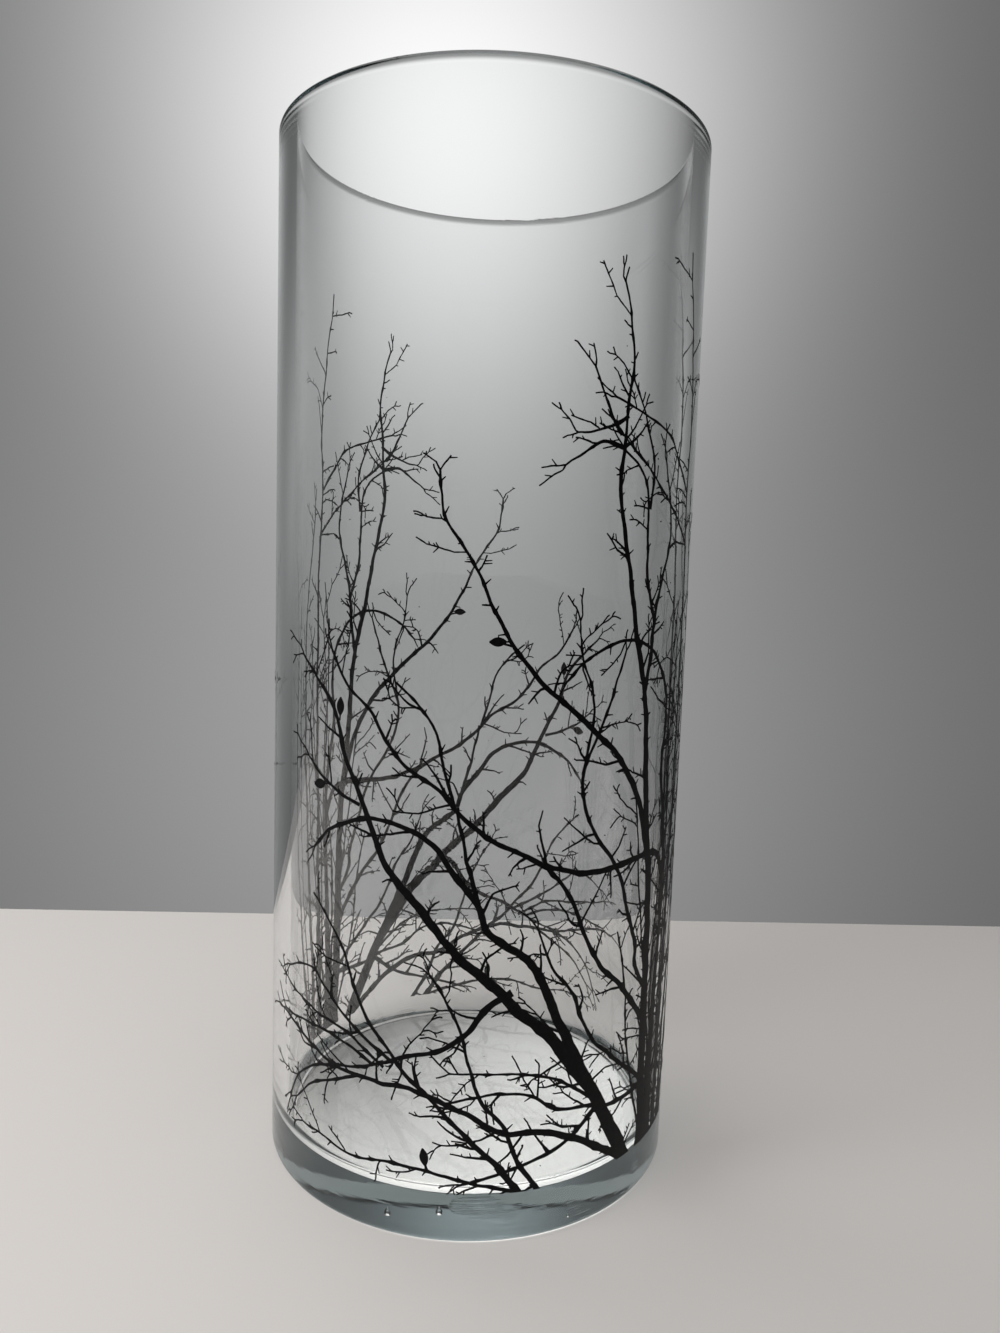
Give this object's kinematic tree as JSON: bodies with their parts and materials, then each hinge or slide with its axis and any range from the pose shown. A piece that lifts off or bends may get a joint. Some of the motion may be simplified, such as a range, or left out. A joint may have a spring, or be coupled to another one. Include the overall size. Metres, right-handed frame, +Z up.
{
  "type": "printed glass cylinder vase",
  "caption": "Tall straight clear glass cylinder vase with a thick floor and smooth rounded rim, printed outside in black with bare branches rising from a root clump.",
  "frame": {"origin": "centre of the flat underside of the foot, on the surface the vase stands on", "axes": "+Z up along the axis of the cylinder, -Y towards the front of the drawing, +X to the right of it"},
  "size_m": [0.1275, 0.1273, 0.3],
  "materials": {
    "clear_glass": "clear polished soda-lime glass, faintly blue-green where it is thick",
    "black_print": "opaque black enamel transfer, satin"
  },
  "bodies": {
    "root": {"glass_vase": "clear_glass", "branch_print_front": "black_print", "branch_print_back": "black_print"}
  },
  "joints": []
}
